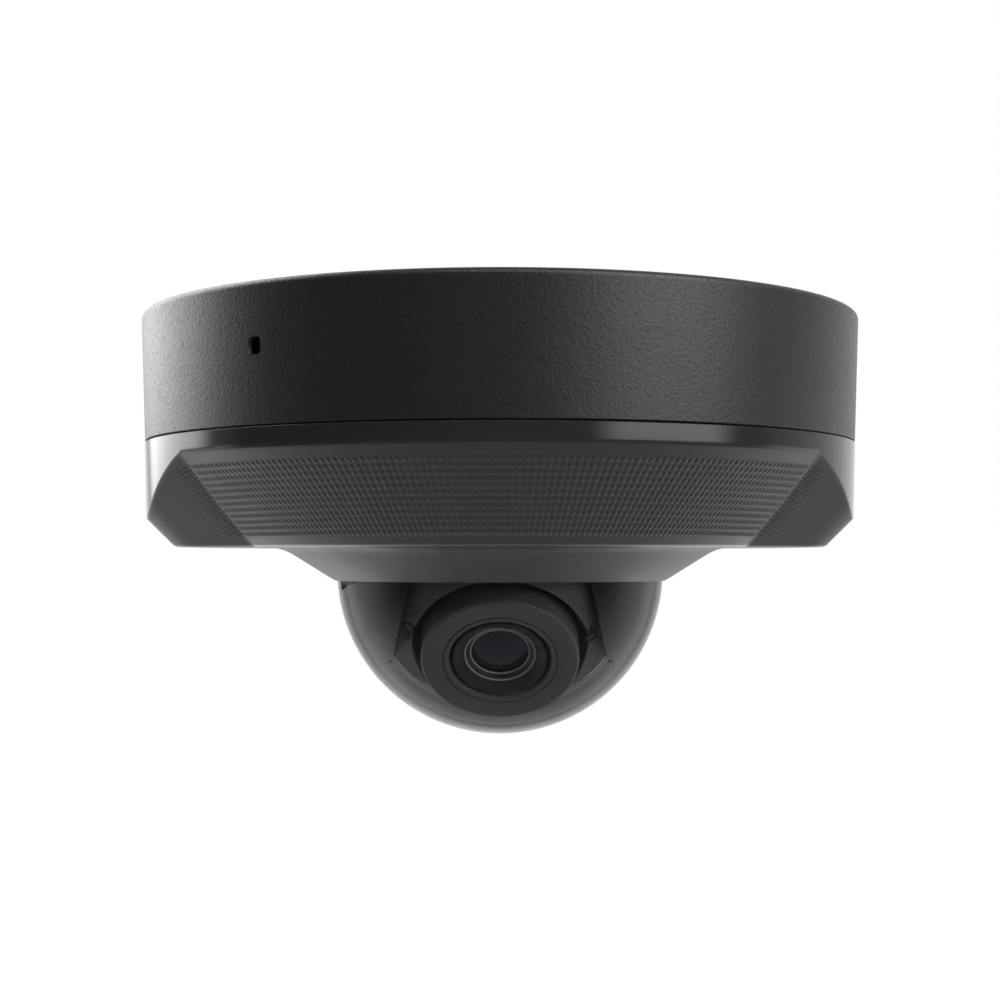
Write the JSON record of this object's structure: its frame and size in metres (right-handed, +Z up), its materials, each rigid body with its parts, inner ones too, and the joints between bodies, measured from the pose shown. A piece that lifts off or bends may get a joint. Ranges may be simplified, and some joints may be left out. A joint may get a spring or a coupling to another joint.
{
  "type": "dome cctv camera",
  "caption": "Ceiling dome security camera: round textured housing, screwed cover with a smoked dome, and a lens turret that pans, tilts and rotates.",
  "frame": {"origin": "centre of the ceiling plate's top face, which lies on the ceiling", "axes": "+Z up, out of the ceiling face, along the pan axis; -Y is the front, the way the lens looks at rest; +X is the camera's left"},
  "size_m": [0.11, 0.11, 0.0641],
  "materials": {
    "housing_plastic": "fine leather-like moulded texture, charcoal",
    "cover_plastic": "satin charcoal, gloss band at the seam, pyramid texture in front",
    "smoked_dome": "clear smoked polycarbonate, polished",
    "shroud_plastic": "semi-gloss black",
    "turret_plastic": "satin black",
    "inner_plastic": "moulded black",
    "lens_black": "black anodised",
    "trim_metal": "satin, turned",
    "coated_glass": "coated optical glass",
    "filter_glass": "infrared filter glass",
    "sensor_glass": "sensor under cover glass",
    "circuit_board": "green solder mask with copper pads",
    "chip_epoxy": "moulded epoxy",
    "pad_silicone": "soft silicone",
    "bare_aluminium": "brushed",
    "zinc_plate": "zinc plated sheet",
    "shield_steel": "tinned sheet",
    "steel_screw": "machined",
    "steel_pin": "ground",
    "spring_steel": "rolled",
    "mesh_steel": "woven mesh",
    "brass_standoff": "turned",
    "gold_contact": "gold plated",
    "terminal_plastic": "moulded green",
    "connector_plastic": "moulded ivory",
    "card_plastic": "moulded black",
    "button_plastic": "moulded black",
    "grommet_rubber": "soft rubber",
    "seal_rubber": "silicone rubber"
  },
  "bodies": {
    "housing": {"mounting_plate": "zinc_plate", "lock_screw": "steel_screw", "base_housing": "housing_plastic", "cable_grommet": "grommet_rubber", "heat_spreader": "bare_aluminium", "thermal_pad": "pad_silicone", "processor_chip": "chip_epoxy", "main_board": "circuit_board", "board_standoffs": "brass_standoff", "network_jack": "shield_steel", "jack_contacts": "gold_contact", "power_terminal": "terminal_plastic", "card_socket": "shield_steel", "reset_switch": "shield_steel", "flex_connector": "connector_plastic", "chassis_plate": "zinc_plate", "chassis_screws": "steel_screw", "pan_base": "inner_plastic", "pan_base_screws": "steel_screw", "microphone_mesh": "mesh_steel", "microphone_boot": "grommet_rubber", "microphone_capsule": "shield_steel", "cover_seal": "seal_rubber", "front_cover": "cover_plastic", "cover_screws": "steel_screw", "dome_seal": "seal_rubber", "dome_bubble": "smoked_dome", "dome_clamp_ring": "inner_plastic", "clamp_screws": "steel_screw"},
    "pan": {"pan_turntable": "inner_plastic", "friction_washer": "spring_steel", "pan_retainer": "zinc_plate", "retainer_screws": "steel_screw", "pan_shroud": "shroud_plastic", "tilt_yoke": "inner_plastic", "tilt_washers": "spring_steel"},
    "turret": {"turret_ball": "turret_plastic", "tilt_pins": "steel_pin"},
    "lens": {"lens_holder": "turret_plastic", "holder_clip": "spring_steel", "lens_barrel": "lens_black", "lens_trim_ring": "trim_metal", "front_lens": "coated_glass", "rear_lens": "coated_glass", "filter_window": "filter_glass", "image_sensor": "sensor_glass", "sensor_board": "circuit_board", "sensor_screws": "steel_screw"},
    "reset_button": {"reset_button": "button_plastic"},
    "memory_card": {"memory_card": "card_plastic"}
  },
  "joints": [
    {"name": "pan_turn", "type": "hinge", "parent": "housing", "child": "pan", "pos_m": [0, 0, -0.02], "axis": [0, 0, 1], "range_deg": [-177.5, 177.5]},
    {"name": "turret_tilt", "type": "hinge", "parent": "pan", "child": "turret", "pos_m": [0, 0, -0.0388], "axis": [1, 0, 0], "range_deg": [-25, 50]},
    {"name": "lens_rotation", "type": "hinge", "parent": "turret", "child": "lens", "pos_m": [0, 0, -0.0388], "axis": [0, -0.766, -0.6428], "range_deg": [-177.5, 177.5]},
    {"name": "reset_press", "type": "slide", "parent": "housing", "child": "reset_button", "axis": [0, 0, 1], "range_m": [0, 0.00025], "stiffness_N_per_m": 6000},
    {"name": "card_pull", "type": "slide", "parent": "housing", "child": "memory_card", "axis": [1, 0, 0], "range_m": [0, 0.013]}
  ]
}
